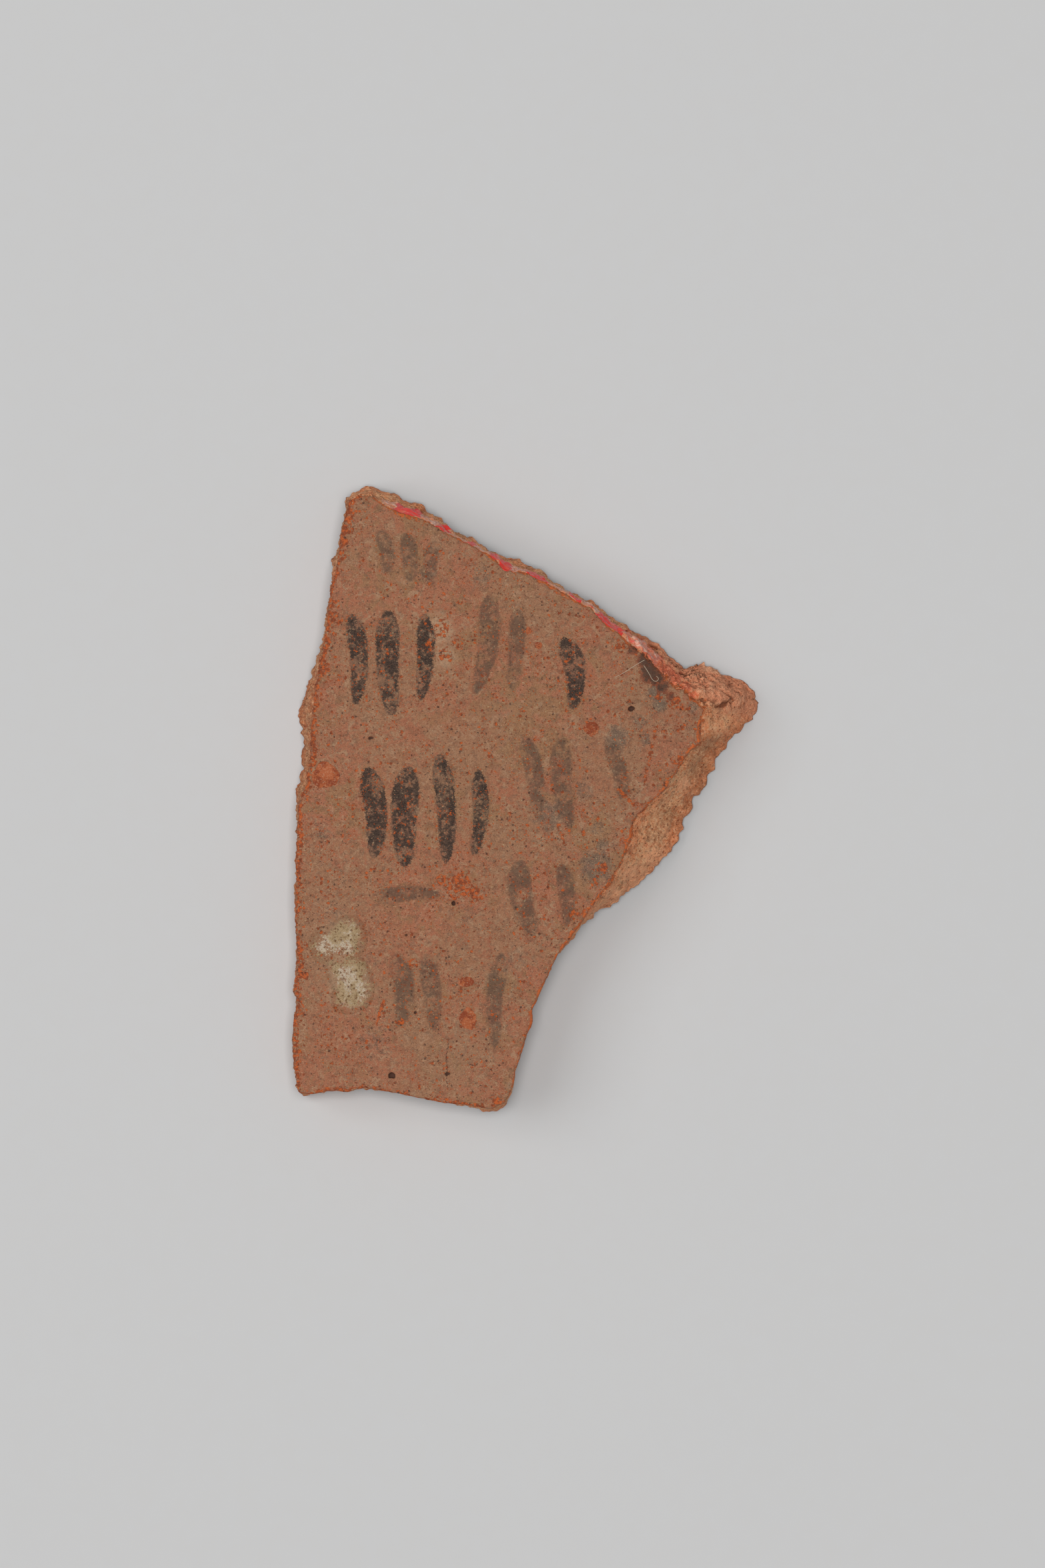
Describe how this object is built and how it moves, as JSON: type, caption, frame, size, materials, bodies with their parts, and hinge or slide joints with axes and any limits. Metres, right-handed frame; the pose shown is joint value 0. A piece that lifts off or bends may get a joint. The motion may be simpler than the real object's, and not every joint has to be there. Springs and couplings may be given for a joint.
{
  "type": "ostracon",
  "caption": "Small wedge-shaped potsherd, gently curved, with broken edges all round and faded ink tally strokes on its outer face.",
  "frame": {"origin": "middle of the bounding box at its lowest level, under the sherd", "axes": "+X across the sherd to its right tip, +Y up the sherd along the pot's axis, +Z out of the writing face"},
  "size_m": [0.0564, 0.0756, 0.0112],
  "materials": {
    "skin": "matte",
    "margin": "matte",
    "core": "matte",
    "grog": "matte",
    "ink_dark": "matte",
    "ink_faded": "matte",
    "lime": "matte",
    "varnish": "satin",
    "paint": "satin",
    "hair": "matte"
  },
  "bodies": {
    "root": {"outer_skin": "skin", "outer_margin": "margin", "wall_core": "core", "inner_margin": "margin", "inner_skin": "skin", "grog_grain_left": "grog", "grog_grain_lower": "grog", "grog_grain_middle": "grog", "grog_grain_right": "grog", "grog_grain_upper": "grog", "grog_grain_top": "grog", "tally_1_stroke_1": "ink_faded", "tally_1_stroke_2": "ink_faded", "tally_1_stroke_3": "ink_faded", "tally_2_stroke_1": "ink_dark", "tally_2_stroke_2": "ink_dark", "tally_2_stroke_3": "ink_dark", "tally_3_stroke_1": "ink_faded", "tally_3_stroke_2": "ink_faded", "tally_4_stroke_1": "ink_dark", "tally_5_stroke_1": "ink_dark", "tally_5_stroke_2": "ink_dark", "tally_5_stroke_3": "ink_dark", "tally_5_stroke_4": "ink_dark", "tally_6_stroke_1": "ink_faded", "tally_6_stroke_2": "ink_faded", "tally_7_stroke_1": "ink_faded", "tally_8_stroke_1": "ink_faded", "tally_9_stroke_1": "ink_faded", "tally_9_stroke_2": "ink_faded", "tally_10_stroke_1": "ink_faded", "tally_10_stroke_2": "ink_faded", "tally_11_stroke_1": "ink_faded", "lime_crust_upper": "lime", "lime_crust_lower": "lime", "varnish_film": "varnish", "paint_dash_1": "paint", "paint_dash_2": "paint", "paint_dash_3": "paint", "paint_dash_4": "paint", "paint_dash_5": "paint", "paint_dash_6": "paint", "paint_dash_7": "paint", "hair_long": "hair", "hair_curled": "hair"}
  },
  "joints": []
}
